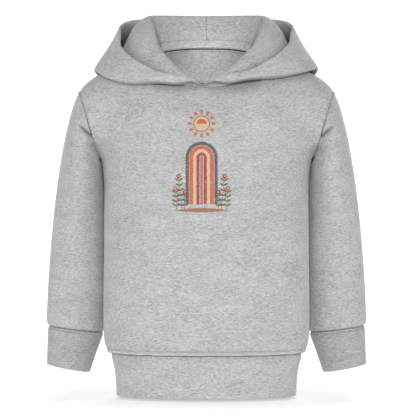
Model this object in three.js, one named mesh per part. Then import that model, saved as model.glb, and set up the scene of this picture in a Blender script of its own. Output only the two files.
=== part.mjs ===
// Toddler's pullover hoodie in sweatshirt cloth, hollow and filled out as when worn, hood down.
// Millimetres. Z is up, the front faces -Y and X runs across the shoulders. The origin is at the
// base of the neck, level with the points where the shoulder seams meet the neck seam.
import * as THREE from 'three';

// Cloth
const BODY_CLOTH = 1.6;
const DOUBLE_CLOTH = 3.0;
const HOOD_CLOTH = 1.4;
const TAPE_CLOTH = 1.0;
const SEAM_GAP = 0.3;
const REST_GAP = 0.35;
const HOOD_REST_GAP = 1.6;
const REST_REACH = 3;
const EDGE_SETBACK = 0.35;

// Body sizes
const BAND_TOP = -354;
const ARMPIT_Z = -126;
const BODY_ROUNDNESS = 2.3;
const NECK_CENTRE_Y = 8;
const NECK_POINT_ANGLE = 88;

// Share of half a panel's top edge that is neck seam, and the shares where its shoulder's form begins
// and is complete
const NECK_SHARE = 0.5;
const SHOULDER_BEGINS = 0.3;
const SHOULDER_COMPLETE = 0.62;

// The shoulder seam's fall is part straight and part a curve that drops near the sleeve
const SHOULDER_STRAIGHT = 0.64;
const SHOULDER_CURVE = 6;

// Height over which the cloth falls from the neck and shoulder seams to the body's full depth
const FRONT_FALL = 58;
const BACK_FALL = 84;
const LEAST_FALL = 1e-4;

// How near the armhole a body section is cut off to meet it; a higher power keeps it nearer
const EDGE_REACH = 6;

// Hood sizes
const HOOD_FRONT_TURN = -3.8;
const HOOD_RAISE = 0.6;
const HOOD_INSET = 1.9;
const HOOD_LAYER_GAP = 0.4;

// Shares of the left side's lift and turn-in that the other keys of its hood section follow
const WELL_LIFT = 0.5;
const SIDE_LIFT = 0.8;
const RIM_LIFT = 0.6;
const SIDE_IN = 0.5;

// The shares of a hood section between which its cloth leaves the seam and lies on the body
const FOLD_FROM = 0.2;
const FOLD_TO = 0.34;

// Neck tape sizes
const TAPE_FROM_ANGLE = 118;
const TAPE_PATH = [0.02, 0.11, 0.21];
const TAPE_GAP = 0.45;

// Torso sections from the hem up: half width, depth in front of and behind the middle, side seam place
const TORSO = table(['z', 'half', 'front', 'back', 'seamY'], [
  [-400, 106.0, 59.2, 58.8, 0],
  [-388, 106.4, 59.5, 59.1, 0],
  [-372, 107.6, 60.4, 60.0, 0],
  [-358, 109.4, 61.8, 61.4, 0],
  [-354, 110.2, 62.4, 62.0, 0],
  [-350, 115.0, 67.4, 66.6, 0],
  [-343, 118.8, 71.4, 70.2, 0],
  [-333, 120.8, 73.6, 72.2, 1],
  [-318, 121.4, 74.6, 73.2, 1],
  [-290, 121.5, 75.4, 74.4, 2],
  [-240, 121.0, 76.6, 75.4, 5],
  [-190, 121.0, 78.0, 76.4, 9],
  [-150, 121.5, 78.2, 77.2, 14],
  [-140, 122.2, 78.0, 77.4, 15],
  [-126, 123.8, 77.6, 77.8, 16],
  [-90, 128.0, 76.0, 78.0, 14],
  [-40, 132.0, 74.0, 76.0, 10],
  [10, 136.0, 72.0, 72.0, 8],
]);

// Arm sections from the armhole to the cuff's edge: outer and inner points, front and back depth
const ARM = table(['outX', 'outY', 'outZ', 'inX', 'inY', 'inZ', 'frontY', 'backY'], [
  [150.2, 8, -41, 123.8, 16, -126, -33.0, 54.0],
  [158.4, 11, -61, 123.0, 22, -137, -34.0, 56.0],
  [166.8, 15, -93, 121.4, 26, -151, -33.0, 60.0],
  [174.0, 20, -130, 120.2, 30, -171, -27.0, 66.0],
  [180.2, 26, -172, 119.2, 32, -198, -15.0, 70.0],
  [185.2, 32, -217, 118.6, 36, -232, -4.0, 72.0],
  [189.0, 37, -262, 118.8, 38, -270, 2.5, 72.0],
  [191.0, 39, -296, 120.8, 40, -302, 6.5, 71.5],
  [191.8, 39, -312, 122.0, 40, -318, 8.0, 70.5],
  [189.8, 39, -320, 123.6, 40, -328, 10.0, 68.5],
  [190.0, 39, -327, 126.0, 40, -336, 11.0, 67.5],
  [190.6, 39, -345, 133.0, 40, -355, 13.0, 65.5],
  [191.4, 39, -366, 140.0, 40, -376, 14.5, 64.0],
]);
const CUFF_SEAM = 9;

// Hood sections by their angle round the neck, from centre front to centre back. Each runs from the
// neck seam up to the ridge, over the lobe, down the well, round the roll and the side to the rim.
const HOOD = table(['angle', 'seamR', 'seamZ', 'ridgeR', 'ridgeZ', 'lobeR', 'lobeZ', 'wellR', 'wellZ',
  'rollR', 'rollZ', 'sideR', 'sideZ', 'rimR', 'rimZ', 'rollUp', 'rimIn'], [
  [0, 60.0, -39.0, 60.9, -37.9, 61.7, -37.0, 62.4, -36.3, 63.0, -35.7, 63.6, -35.0, 64.2, -34.2, 0, 0],
  [10, 60.6, -38.4, 63.4, -33.8, 66.4, -32.2, 69.4, -32.4, 72.4, -33.4, 75.2, -32.6, 76.2, -30.0, 0, 0],
  [20, 61.8, -37.0, 65.0, -25.6, 69.2, -25.0, 72.2, -30.6, 75.2, -36.0, 79.6, -34.0, 79.0, -26.6, 1, 1],
  [38, 63.0, -29.5, 68.0, -7.2, 75.0, -10.4, 81.2, -23.5, 86.4, -34.6, 92.8, -31.0, 88.4, -21.4, 4, 2],
  [54, 63.2, -19.0, 68.5, 7.5, 79.0, 1.5, 90.0, -17.0, 97.2, -36.4, 106.0, -31.0, 101.8, -7.0, 8, 4],
  [70, 62.7, -8.0, 67.5, 25.7, 83.0, 16.0, 97.0, -7.0, 110.0, -31.5, 120.0, -26.5, 105.2, 9.0, 9, 4],
  [88, 62.0, 0.0, 67.5, 38.0, 84.0, 29.0, 101.0, 4.0, 124.0, -16.6, 130.8, -17.0, 101.4, 25.4, 3, 2],
  [105, 58.5, 4.0, 69.0, 47.6, 85.0, 39.0, 100.0, 6.0, 123.0, -24.0, 130.6, -22.4, 105.5, 39.3, 0, 0],
  [122, 53.0, 8.0, 63.0, 49.8, 77.0, 44.0, 90.0, 0.0, 114.0, -54.0, 128.4, -40.0, 107.0, 48.0, 0, 0],
  [140, 49.0, 10.5, 57.0, 50.7, 67.5, 46.0, 78.0, -6.0, 103.0, -82.0, 121.0, -54.0, 100.0, 51.5, 0, 0],
  [160, 45.5, 11.8, 53.5, 51.0, 62.0, 47.0, 71.0, -12.0, 94.0, -101.0, 114.0, -63.0, 91.0, 48.5, 0, 0],
  [180, 44.0, 12.0, 52.0, 51.2, 60.0, 47.0, 69.0, -15.0, 91.0, -107.0, 112.0, -67.0, 86.0, 45.0, 0, 0],
]);
const HOOD_KEYS = ['seam', 'ridge', 'lobe', 'well', 'roll', 'side', 'rim'];

// Grid lines
const PANEL_COLUMNS = 16;
const PANEL_LEVELS = [-354, -351, -347, -341, -333, -320, -300, -270, -240, -210, -180, -155, -138, -126];
const PANEL_UPPER_ROWS = 10;
const BAND_LEVELS = [-400, -397, -385, -370, -354];
const BAND_COLUMNS = 40;
const ARM_COLUMNS = 20;
const SLEEVE_ROWS = 15;
const CUFF_ROWS = 3;
const HOOD_ANGLES = [0, 6, 12, 20, 29, 38, 48, 58, 67, 75, 82, 89, 97, 106, 118, 132, 148, 164, 180];
const HOOD_PATH = [...[3, 4, 3, 4, 4, 4].flatMap((count, key) => steps(key, key + 1, count).slice(0, -1)), 6];
const REST_COLUMNS = 64;
const REST_ROWS = 48;

// Finish
const GREY_CLOTH = { color: 0xb4b4b6, roughness: 0.95, metalness: 0 };
const GREY_LINING = { color: 0xb0b0b2, roughness: 0.95, metalness: 0 };
const GREY_TAPE = { color: 0xb8b8ba, roughness: 0.9, metalness: 0 };

// A table is a list of column names and a row of values for each section.
function table(names, rows) {
  return rows.map((row) => Object.fromEntries(names.map((name, i) => [name, row[i]])));
}

// Slope of a column at one row, from the rows beside it
function slopeAt(rows, key, name, i) {
  const here = rows[i];
  const before = rows[i - 1];
  const after = rows[i + 1];
  if (!before) return (after[name] - here[name]) / (after[key] - here[key]);
  if (!after) return (here[name] - before[name]) / (here[key] - before[key]);
  const back = here[key] - before[key];
  const ahead = after[key] - here[key];
  const slopeBack = (here[name] - before[name]) / back;
  const slopeAhead = (after[name] - here[name]) / ahead;
  return (slopeBack * ahead + slopeAhead * back) / (back + ahead);
}

// All columns where the key column has the given value, on smooth curves through the rows
function sectionAt(rows, key, value) {
  const last = rows.length - 2;
  let i = 0;
  while (i < last && rows[i + 1][key] < value) i += 1;
  const span = rows[i + 1][key] - rows[i][key];
  const t = THREE.MathUtils.clamp((value - rows[i][key]) / span, 0, 1);
  const section = {};
  for (const name of Object.keys(rows[i])) {
    const from = rows[i][name];
    const to = rows[i + 1][name];
    const slopeFrom = slopeAt(rows, key, name, i) * span;
    const slopeTo = slopeAt(rows, key, name, i + 1) * span;
    section[name] = (2 * t ** 3 - 3 * t ** 2 + 1) * from + (t ** 3 - 2 * t ** 2 + t) * slopeFrom
      + (3 * t ** 2 - 2 * t ** 3) * to + (t ** 3 - t ** 2) * slopeTo;
  }
  return section;
}

const mix = THREE.MathUtils.lerp;
const smooth = THREE.MathUtils.smoothstep;
const radians = THREE.MathUtils.degToRad;

// Round section at an angle from the middle of a panel, where 90 degrees is its side seam
function roundSection(angle) {
  const power = 2 / BODY_ROUNDNESS;
  return { across: Math.sin(angle) ** power, depth: Math.max(Math.cos(angle), 0) ** power };
}

// Arm ring through its outer, front, inner and back points. Angle 0 is outside and 90 the front.
function armRing(section, degrees) {
  const c = Math.cos(radians(degrees));
  const s = Math.sin(radians(degrees));
  const midX = (section.outX + section.inX) / 2;
  const midZ = (section.outZ + section.inZ) / 2;
  const sideY = (section.outY + section.inY) / 2;
  const depthY = (section.frontY + section.backY) / 2;
  return new THREE.Vector3(
    midX + (section.outX - section.inX) / 2 * c,
    sideY * c * c + depthY * s * s + (section.outY - section.inY) / 2 * c
      + (section.frontY - section.backY) / 2 * s,
    midZ + (section.outZ - section.inZ) / 2 * c,
  );
}

function neckPoint(degrees) {
  const section = sectionAt(HOOD, 'angle', degrees);
  return new THREE.Vector3(section.seamR * Math.sin(radians(degrees)),
    NECK_CENTRE_Y - section.seamR * Math.cos(radians(degrees)), section.seamZ);
}

// Top edge of a body panel, from the centre of the neck (0) over the neck point to the sleeve (1)
function topEdge(side, u) {
  const neck = neckPoint(NECK_POINT_ANGLE);
  const tip = armRing(ARM[0], 0);
  if (u <= NECK_SHARE) {
    const middle = side < 0 ? 0 : 180;
    return neckPoint(mix(middle, NECK_POINT_ANGLE, u / NECK_SHARE));
  }
  const s = (u - NECK_SHARE) / (1 - NECK_SHARE);
  const fall = SHOULDER_STRAIGHT * s + (1 - SHOULDER_STRAIGHT) * s ** SHOULDER_CURVE;
  return new THREE.Vector3(mix(neck.x, tip.x, s), mix(neck.y, tip.y, s),
    mix(neck.z, tip.z, fall));
}

// Depth of a body section at a height, from the side seam (0) to the middle of the panel (1)
function depthAt(side, z, share) {
  const section = sectionAt(TORSO, 'z', z);
  return mix(section.seamY, side < 0 ? -section.front : section.back, share);
}

// Body below the armpit. side is -1 in front and 1 behind; u runs from -1 to 1 between the seams.
function lowerBody(side, u, z) {
  const { across, depth } = roundSection(Math.abs(u) * Math.PI / 2);
  return new THREE.Vector3(Math.sign(u) * sectionAt(TORSO, 'z', z).half * across,
    depthAt(side, z, depth), z);
}

// Body above the armpit: its sides follow the armhole and its top the shoulder and neck seams. Each
// section is the round one below, cut off where it meets the armhole and drawn back to the seams.
function upperBody(side, u, rise) {
  const edge = armRing(ARM[0], side < 0 ? 180 * (1 - rise) : 180 * (1 + rise));
  const tip = topEdge(side, 1);
  const top = topEdge(side, Math.abs(u));
  const lift = (edge.z - ARMPIT_Z) / (tip.z - ARMPIT_Z);
  const z = mix(ARMPIT_Z, top.z, lift);
  const fallOff = (height, topZ, across) => {
    const shoulder = smooth(across, SHOULDER_BEGINS, SHOULDER_COMPLETE);
    const fall = mix(side < 0 ? FRONT_FALL : BACK_FALL, FRONT_FALL, shoulder);
    const drop = Math.min((topZ - height) / fall, 1);
    return (1 - (1 - drop) ** 2) ** mix(1, 0.5, shoulder);
  };
  const edgeFall = Math.max(fallOff(edge.z, tip.z, 1), LEAST_FALL);
  const edgeY = rise < 1 ? mix(tip.y, edge.y, 1 / edgeFall) : tip.y;
  const seamY = depthAt(side, edge.z, 0);
  const edgeShare = (edgeY - seamY) / (depthAt(side, edge.z, 1) - seamY);
  const edgeAngle = Math.acos(THREE.MathUtils.clamp(edgeShare, 0, 1) ** (BODY_ROUNDNESS / 2));
  const cutOff = Math.PI / 2 - edgeAngle;
  const reach = Math.min(EDGE_REACH, 0.9 * Math.PI / 2 / Math.max(cutOff, 0.01));
  const angle = Math.abs(u) * Math.PI / 2 - cutOff * Math.abs(u) ** reach;
  const { across, depth } = roundSection(angle);
  const spread = mix(across / roundSection(edgeAngle).across, top.x / tip.x, smooth(lift, 0, 1));
  return new THREE.Vector3(Math.sign(u) * edge.x * spread,
    mix(top.y, depthAt(side, z, depth), fallOff(z, top.z, Math.abs(u))), z);
}

function bodyGrid(side, columnCount, levels, upperRows) {
  const columns = steps(-1, 1, columnCount);
  const rows = levels.map((z) => columns.map((u) => lowerBody(side, u, z)));
  for (const rise of steps(0, 1, upperRows).slice(1)) {
    rows.push(columns.map((u) => upperBody(side, u, rise)));
  }
  return rows;
}

function steps(from, to, count) {
  return Array.from({ length: count + 1 }, (_, i) => from + (to - from) * i / count);
}

// Arm rings between two rows of the table. hand is 1 on the wearer's left, which is at +X.
function armGrid(hand, from, to, count) {
  const rows = ARM.map((section, i) => ({ row: i, ...section }));
  return steps(from, to, count).map((row) => {
    const section = sectionAt(rows, 'row', row);
    return steps(0, 360, ARM_COLUMNS).slice(0, -1).map((degrees) => {
      const point = armRing(section, degrees);
      return point.setX(point.x * hand);
    });
  });
}

function bandGrid() {
  const quarter = BAND_COLUMNS / 4;
  return BAND_LEVELS.map((z) => steps(0, 4, BAND_COLUMNS).slice(0, -1).map((turn, i) => {
    const side = turn < 2 ? -1 : 1;
    const u = turn < 2 ? 1 - turn : turn - 3;
    return i % (2 * quarter) === 0 ? lowerBody(side, Math.sign(u), z) : lowerBody(side, u, z);
  }));
}

// Angle of a hood section round the neck, positive to the wearer's left. The front is turned a little.
function hoodAngle(degrees, hand) {
  return hand * degrees + HOOD_FRONT_TURN * Math.max(Math.cos(radians(degrees)), 0) ** 2;
}

// Curve through the keys of one hood section, with its radius as x and its height as z
function hoodSection(degrees, hand) {
  const section = sectionAt(HOOD, 'angle', degrees);
  const neck = sectionAt(HOOD, 'angle', Math.abs(hoodAngle(degrees, hand)));
  const left = hand > 0 ? 1 : 0;
  const keys = HOOD_KEYS.map((key) => new THREE.Vector3(section[`${key}R`], 0, section[`${key}Z`]));
  const [seam, , , well, roll, side, rim] = keys;
  seam.x = neck.seamR - HOOD_INSET * Math.sin(radians(degrees)) ** 2;
  seam.z = neck.seamZ + HOOD_RAISE;
  well.z += left * section.rollUp * WELL_LIFT;
  roll.z += left * section.rollUp;
  side.z += left * section.rollUp * SIDE_LIFT;
  side.x -= left * section.rimIn * SIDE_IN;
  rim.x -= left * section.rimIn;
  rim.z += left * section.rimIn * RIM_LIFT;
  return new THREE.CatmullRomCurve3(keys, false, 'centripetal');
}

// Middle surface of one half of the hood. Columns run round the neck from the centre front to the
// centre back, and the path runs through the keys of a section, from 0 at the seam to 6 at the rim.
function hoodGrid(hand, angles, path) {
  const columns = angles.map((degrees) => {
    const angle = radians(hoodAngle(degrees, hand));
    const curve = hoodSection(degrees, hand);
    return path.map((step) => {
      const point = curve.getPoint(step / (HOOD_KEYS.length - 1));
      return new THREE.Vector3(point.x * Math.sin(angle), NECK_CENTRE_Y - point.x * Math.cos(angle),
        point.z);
    });
  });
  return path.map((_, row) => columns.map((column) => column[row]));
}

// Unit normals of a grid, on the side that turn gives. Where a half meets its mirror image, the
// normals of its end columns stay in the middle plane.
function gridNormals(grid, { closed = false, halved = false, turn }) {
  return grid.map((row, i) => row.map((_, j) => {
    const n = row.length;
    const before = closed ? row[(j + n - 1) % n] : row[Math.max(j - 1, 0)];
    const after = closed ? row[(j + 1) % n] : row[Math.min(j + 1, n - 1)];
    const below = grid[Math.max(i - 1, 0)][j];
    const above = grid[Math.min(i + 1, grid.length - 1)][j];
    const across = after.clone().sub(before);
    const along = above.clone().sub(below);
    const normal = across.cross(along);
    if (halved && (j === 0 || j === n - 1)) normal.x = 0;
    return normal.normalize().multiplyScalar(turn);
  }));
}

function moved(grid, normals, distance) {
  return grid.map((row, i) => row.map((point, j) => point.clone().addScaledVector(normals[i][j], distance)));
}

// Draws the edges of a grid in by a distance; a closed grid has only its first and last rows as edges.
function drawnIn(grid, closed, distance) {
  const pull = (edge, inner) => edge.clone().addScaledVector(inner.clone().sub(edge).normalize(), distance);
  const result = grid.map((row) => row.map((point) => point.clone()));
  const last = grid.length - 1;
  grid[0].forEach((_, j) => {
    result[0][j] = pull(grid[0][j], grid[1][j]);
    result[last][j] = pull(grid[last][j], grid[last - 1][j]);
  });
  if (closed) return result;
  result.forEach((row) => {
    const end = row.length - 1;
    const first = pull(row[0], row[1]);
    const final = pull(row[end], row[end - 1]);
    row[0] = first;
    row[end] = final;
  });
  return result;
}

// Moves the points that come too near a lower cloth out along its normal, by the share that ease
// gives. Points that lie past the cloth's edge stay where they are.
function restOn(grid, cloths, clearance, ease) {
  return grid.map((row, i) => row.map((point) => {
    let nearest = null;
    let reach = Infinity;
    for (const cloth of cloths) {
      cloth.grid.forEach((line, a) => line.forEach((spot, b) => {
        const distance = spot.distanceToSquared(point);
        if (distance < reach) {
          reach = distance;
          const border = a === cloth.grid.length - 1 || b === 0 || b === line.length - 1;
          nearest = { spot, border, normal: cloth.normals[a][b] };
        }
      }));
    }
    const height = point.clone().sub(nearest.spot).dot(nearest.normal);
    const aside = Math.sqrt(Math.max(reach - height ** 2, 0));
    const past = nearest.border && aside > REST_REACH;
    const push = past ? 0 : Math.max(clearance - height, 0) * ease(i / (grid.length - 1));
    return point.clone().addScaledVector(nearest.normal, push);
  }));
}

// Closed wall between two grids that face each other
function wallGeometry(face, lining, closed) {
  const rows = face.length;
  const columns = face[0].length;
  const positions = [...face.flat(), ...lining.flat()].flatMap((point) => point.toArray());
  const at = (layer, i, j) => layer * rows * columns + i * columns + (j % columns);
  const index = [];
  const quad = (a, b, c, d) => index.push(a, b, c, a, c, d);
  const spans = closed ? columns : columns - 1;
  for (let i = 0; i < rows - 1; i += 1) {
    for (let j = 0; j < spans; j += 1) {
      quad(at(0, i, j), at(0, i, j + 1), at(0, i + 1, j + 1), at(0, i + 1, j));
      quad(at(1, i, j), at(1, i + 1, j), at(1, i + 1, j + 1), at(1, i, j + 1));
    }
  }
  for (let j = 0; j < spans; j += 1) {
    quad(at(0, 0, j), at(1, 0, j), at(1, 0, j + 1), at(0, 0, j + 1));
    quad(at(0, rows - 1, j), at(0, rows - 1, j + 1), at(1, rows - 1, j + 1), at(1, rows - 1, j));
  }
  if (!closed) {
    for (let i = 0; i < rows - 1; i += 1) {
      quad(at(0, i, 0), at(0, i + 1, 0), at(1, i + 1, 0), at(1, i, 0));
      quad(at(0, i, columns - 1), at(1, i, columns - 1), at(1, i + 1, columns - 1), at(0, i + 1, columns - 1));
    }
  }
  const geometry = new THREE.BufferGeometry();
  geometry.setAttribute('position', new THREE.Float32BufferAttribute(positions, 3));
  geometry.setIndex(faceOut(positions, index));
  geometry.computeVertexNormals();
  return geometry;
}

// Triangles turned round where they would enclose a negative volume
function faceOut(positions, index) {
  const point = (i) => new THREE.Vector3().fromArray(positions, 3 * i);
  let volume = 0;
  for (let i = 0; i < index.length; i += 3) {
    volume += point(index[i]).dot(point(index[i + 1]).cross(point(index[i + 2])));
  }
  if (volume > 0) return index;
  const turned = [];
  for (let i = 0; i < index.length; i += 3) turned.push(index[i], index[i + 2], index[i + 1]);
  return turned;
}

// Cloth of one layer: its face stands at near from the grid and its back at far, along the normals.
function clothGeometry(grid, { closed = false, halved = false, turn, near, far }) {
  const normals = gridNormals(grid, { closed, halved, turn });
  const face = drawnIn(moved(grid, normals, near), closed, SEAM_GAP / 2);
  const setback = SEAM_GAP / 2 + (halved ? 0 : EDGE_SETBACK * Math.abs(far - near));
  const back = drawnIn(moved(grid, normals, far), closed, setback);
  return wallGeometry(face, back, closed);
}

const hoodie = new THREE.Group();

function addPiece(name, geometry, finish) {
  const mesh = new THREE.Mesh(geometry, new THREE.MeshStandardMaterial(finish));
  mesh.name = name;
  hoodie.add(mesh);
}

// Front and back, with finer copies that the sleeves and the hood lie on
const restLevels = steps(BAND_TOP, ARMPIT_Z, REST_ROWS);
const bodyCloths = [-1, 1].map((side) => {
  const grid = bodyGrid(side, REST_COLUMNS, restLevels, REST_ROWS);
  return { grid, normals: gridNormals(grid, { turn: -side }) };
});
for (const side of [-1, 1]) {
  const grid = bodyGrid(side, PANEL_COLUMNS, PANEL_LEVELS, PANEL_UPPER_ROWS);
  const wall = { turn: -side, near: 0, far: -BODY_CLOTH };
  addPiece(side < 0 ? 'front' : 'back', clothGeometry(grid, wall), GREY_CLOTH);
}

// Waistband
const waistband = clothGeometry(bandGrid(), { closed: true, turn: -1, near: 0, far: -DOUBLE_CLOTH });
addPiece('waistband', waistband, GREY_CLOTH);

// Sleeves, cuffs and hood, one of each to a side
for (const hand of [-1, 1]) {
  const where = hand < 0 ? 'right' : 'left';
  const sleeve = restOn(armGrid(hand, 0, CUFF_SEAM, SLEEVE_ROWS), bodyCloths, REST_GAP, () => 1);
  const sleeveWall = { closed: true, turn: hand, near: 0, far: -BODY_CLOTH };
  addPiece(`sleeve_${where}`, clothGeometry(sleeve, sleeveWall), GREY_CLOTH);

  const cuff = armGrid(hand, CUFF_SEAM, ARM.length - 1, CUFF_ROWS);
  const cuffWall = { closed: true, turn: hand, near: 0, far: -DOUBLE_CLOTH };
  addPiece(`cuff_${where}`, clothGeometry(cuff, cuffWall), GREY_CLOTH);

  const halfGap = HOOD_LAYER_GAP / 2;
  const hoodClearance = HOOD_CLOTH + halfGap + HOOD_REST_GAP;
  const foldedPart = (share) => smooth(share, FOLD_FROM, FOLD_TO);
  const hood = restOn(hoodGrid(hand, HOOD_ANGLES, HOOD_PATH), bodyCloths, hoodClearance, foldedPart);
  const outerWall = { halved: true, turn: hand, near: halfGap + HOOD_CLOTH, far: halfGap };
  const liningWall = { halved: true, turn: hand, near: -halfGap - HOOD_CLOTH, far: -halfGap };
  addPiece(`hood_outer_${where}`, clothGeometry(hood, outerWall), GREY_CLOTH);
  addPiece(`hood_lining_${where}`, clothGeometry(hood, liningWall), GREY_LINING);
}

// Neck tape, on the hood's lining round the back of the neck
const tapeAngles = HOOD_ANGLES.filter((degrees) => degrees >= TAPE_FROM_ANGLE);
const [tapeLeft, tapeRight] = [1, -1].map((hand) => hoodGrid(hand, tapeAngles, TAPE_PATH));
const tapeGrid = tapeLeft.map((row, i) => [...row, ...tapeRight[i].slice(0, -1).reverse()]);
const tapeFace = -HOOD_LAYER_GAP / 2 - HOOD_CLOTH - TAPE_GAP;
const tape = clothGeometry(tapeGrid, { turn: 1, near: tapeFace, far: tapeFace - TAPE_CLOTH });
addPiece('neck_tape', tape, GREY_TAPE);

export default hoodie;
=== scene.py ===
"""Toddler's pullover hoodie in mottled grey sweatshirt cloth, hollow as when worn, hood down.

Every panel is a shell on the form of its solid, worked out from the same sizes in millimetres,
with its seams, creases and stitching, and is turned into metres when its mesh is made.
"""
import math

import bpy
import numpy as np
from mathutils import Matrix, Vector
from mathutils.bvhtree import BVHTree


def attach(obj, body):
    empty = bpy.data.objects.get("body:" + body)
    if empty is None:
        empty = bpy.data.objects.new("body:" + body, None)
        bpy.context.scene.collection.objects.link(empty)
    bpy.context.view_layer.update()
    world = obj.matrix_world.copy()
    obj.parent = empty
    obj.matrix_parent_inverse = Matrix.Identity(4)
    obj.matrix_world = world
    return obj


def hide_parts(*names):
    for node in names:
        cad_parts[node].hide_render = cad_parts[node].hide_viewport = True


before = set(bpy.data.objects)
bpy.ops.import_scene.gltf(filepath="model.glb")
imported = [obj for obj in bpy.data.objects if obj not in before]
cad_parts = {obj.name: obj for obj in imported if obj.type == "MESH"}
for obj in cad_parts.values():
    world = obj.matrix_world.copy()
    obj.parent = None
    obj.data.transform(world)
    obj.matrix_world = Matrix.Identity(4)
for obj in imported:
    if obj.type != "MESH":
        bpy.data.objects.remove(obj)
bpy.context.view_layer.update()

MM = 0.001

# Cloth
BODY_CLOTH = 1.6
DOUBLE_CLOTH = 3.0
HOOD_CLOTH = 1.4
TAPE_CLOTH = 0.9
REST_GAP = 0.35
HOOD_REST_GAP = 1.6

# Body sizes
BAND_TOP = -350.5
BAND_HEM = -400.0
ARMPIT_Z = -126.0
BODY_ROUNDNESS = 2.3
NECK_CENTRE_Y = 8.0
NECK_POINT_ANGLE = 88.0
NECK_SHARE = 0.5
SHOULDER_BEGINS = 0.3
SHOULDER_COMPLETE = 0.62
SHOULDER_STRAIGHT = 0.64
SHOULDER_CURVE = 6.0
FRONT_FALL = 58.0
BACK_FALL = 84.0
LEAST_FALL = 1e-4
EDGE_REACH = 6.0

# Hood sizes
HOOD_FRONT_TURN = -3.8
HOOD_RAISE = 0.6
HOOD_INSET = 1.9
HOOD_LAYER_GAP = 0.4
WELL_LIFT = 0.5
SIDE_LIFT = 0.8
RIM_LIFT = 0.6
SIDE_IN = 0.5
FOLD_FROM = 0.2
FOLD_TO = 0.34
TAPE_FROM_ANGLE = 108.0
TAPE_TOP = 0.21

# How a piece is laid on the body: the grid of the search trees, the least lean that tells a face's
# side, the middle and rise of the outward way, how far aside of the cloth it holds, and its easing
TREE_COLUMNS = 96
TREE_ROWS_LOWER = 61
TREE_ROWS_UPPER = 80
LEAST_LEAN = 0.2
BODY_MIDDLE_Y = 5.0
OUTWARD_RISE = 0.35
ASIDE_LIMIT = 3.0
EASE_ROUNDS = 3
EASE_LEAST = 0.9

# Torso sections from the hem up: height, half width, depth in front and behind, side seam's place
TORSO = np.array([
    [-400, 106.0, 59.2, 58.8, 0], [-388, 106.4, 59.5, 59.1, 0], [-372, 107.9, 60.4, 60.0, 0],
    [-358, 110.8, 61.8, 61.4, 0], [-350.5, 113.2, 63.0, 62.6, 0], [-346.5, 116.4, 67.8, 67.0, 0],
    [-340, 119.2, 71.8, 70.6, 0], [-331, 120.8, 73.7, 72.3, 1], [-318, 121.4, 74.6, 73.2, 1],
    [-290, 121.5, 75.4, 74.4, 2], [-240, 121.0, 76.6, 75.4, 5], [-190, 121.0, 78.0, 76.4, 9],
    [-150, 121.5, 78.2, 77.2, 14], [-140, 122.2, 78.0, 77.4, 15], [-126, 123.8, 77.6, 77.8, 16],
    [-90, 128.0, 76.0, 78.0, 14], [-40, 132.0, 74.0, 76.0, 10], [10, 136.0, 72.0, 72.0, 8],
], float)

# Arm sections from the armhole to the cuff's edge: outer and inner points, front and back depth
ARM = np.array([
    [0, 150.2, 8, -41, 123.8, 16, -126, -33.0, 54.0], [1, 158.4, 11, -61, 123.0, 22, -137, -34.0, 56.0],
    [2, 166.8, 15, -93, 121.4, 26, -151, -33.0, 60.0], [3, 174.0, 20, -130, 120.2, 30, -171, -27.0, 66.0],
    [4, 180.2, 26, -172, 119.2, 32, -198, -15.0, 70.0], [5, 185.2, 32, -217, 118.6, 36, -232, -4.0, 72.0],
    [6, 189.0, 37, -262, 118.8, 38, -270, 2.5, 72.0], [7, 191.0, 39, -296, 120.8, 40, -302, 6.5, 71.5],
    [8, 191.8, 39, -312, 122.0, 40, -318, 8.0, 70.5], [9, 189.8, 39, -320, 123.6, 40, -328, 10.0, 68.5],
    [10, 190.0, 39, -327, 126.0, 40, -336, 11.0, 67.5], [11, 190.6, 39, -345, 133.0, 40, -355, 13.0, 65.5],
    [12, 191.4, 39, -366, 140.0, 40, -376, 14.5, 64.0],
], float)
CUFF_SEAM = 9
CUFF_EDGE = 12

# Hood sections by their angle round the neck, from centre front to centre back: the radius and
# height of the seam, ridge, lobe, well, roll, side and rim, then the left side's lift and turn-in
HOOD = np.array([
    [0, 60.0, -39.0, 60.5, -38.8, 61.0, -38.6, 61.5, -38.4, 62.0, -38.2, 62.6, -38.0, 63.2, -37.8, 0, 0],
    [10, 60.6, -38.4, 63.4, -33.8, 66.4, -32.2, 69.4, -32.4, 72.4, -33.4, 75.2, -32.6, 76.2, -30.0, 0, 0],
    [20, 61.8, -37.0, 65.0, -25.6, 69.2, -25.0, 72.2, -30.6, 75.2, -36.0, 79.6, -34.0, 79.0, -26.6, 1, 1],
    [38, 63.0, -29.5, 68.0, -7.2, 75.0, -10.4, 81.2, -23.5, 86.4, -34.6, 92.8, -31.0, 88.4, -21.4, 4, 2],
    [54, 63.2, -19.0, 68.5, 7.5, 79.0, 1.5, 90.0, -17.0, 97.2, -36.4, 106.0, -31.0, 101.8, -7.0, 8, 4],
    [70, 62.7, -8.0, 67.5, 25.7, 83.0, 16.0, 97.0, -7.0, 110.0, -31.5, 120.0, -26.5, 105.2, 9.0, 9, 4],
    [88, 62.0, 0.0, 67.5, 38.0, 84.0, 29.0, 101.0, 4.0, 124.0, -16.6, 130.8, -17.0, 101.4, 25.4, 3, 2],
    [105, 58.5, 4.0, 69.0, 47.6, 85.0, 39.0, 100.0, 6.0, 123.0, -24.0, 130.6, -22.4, 105.5, 39.3, 0, 0],
    [122, 53.0, 8.0, 63.0, 49.8, 77.0, 44.0, 90.0, 0.0, 114.0, -54.0, 128.4, -40.0, 107.0, 48.0, 0, 0],
    [140, 49.0, 10.5, 57.0, 50.7, 67.5, 46.0, 78.0, -6.0, 103.0, -82.0, 121.0, -54.0, 100.0, 51.5, 0, 0],
    [160, 45.5, 11.8, 53.5, 51.0, 62.0, 47.0, 71.0, -12.0, 94.0, -101.0, 114.0, -63.0, 91.0, 48.5, 0, 0],
    [180, 44.0, 12.0, 52.0, 51.2, 60.0, 47.0, 69.0, -15.0, 91.0, -107.0, 112.0, -67.0, 86.0, 45.0, 0, 0],
], float)

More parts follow.
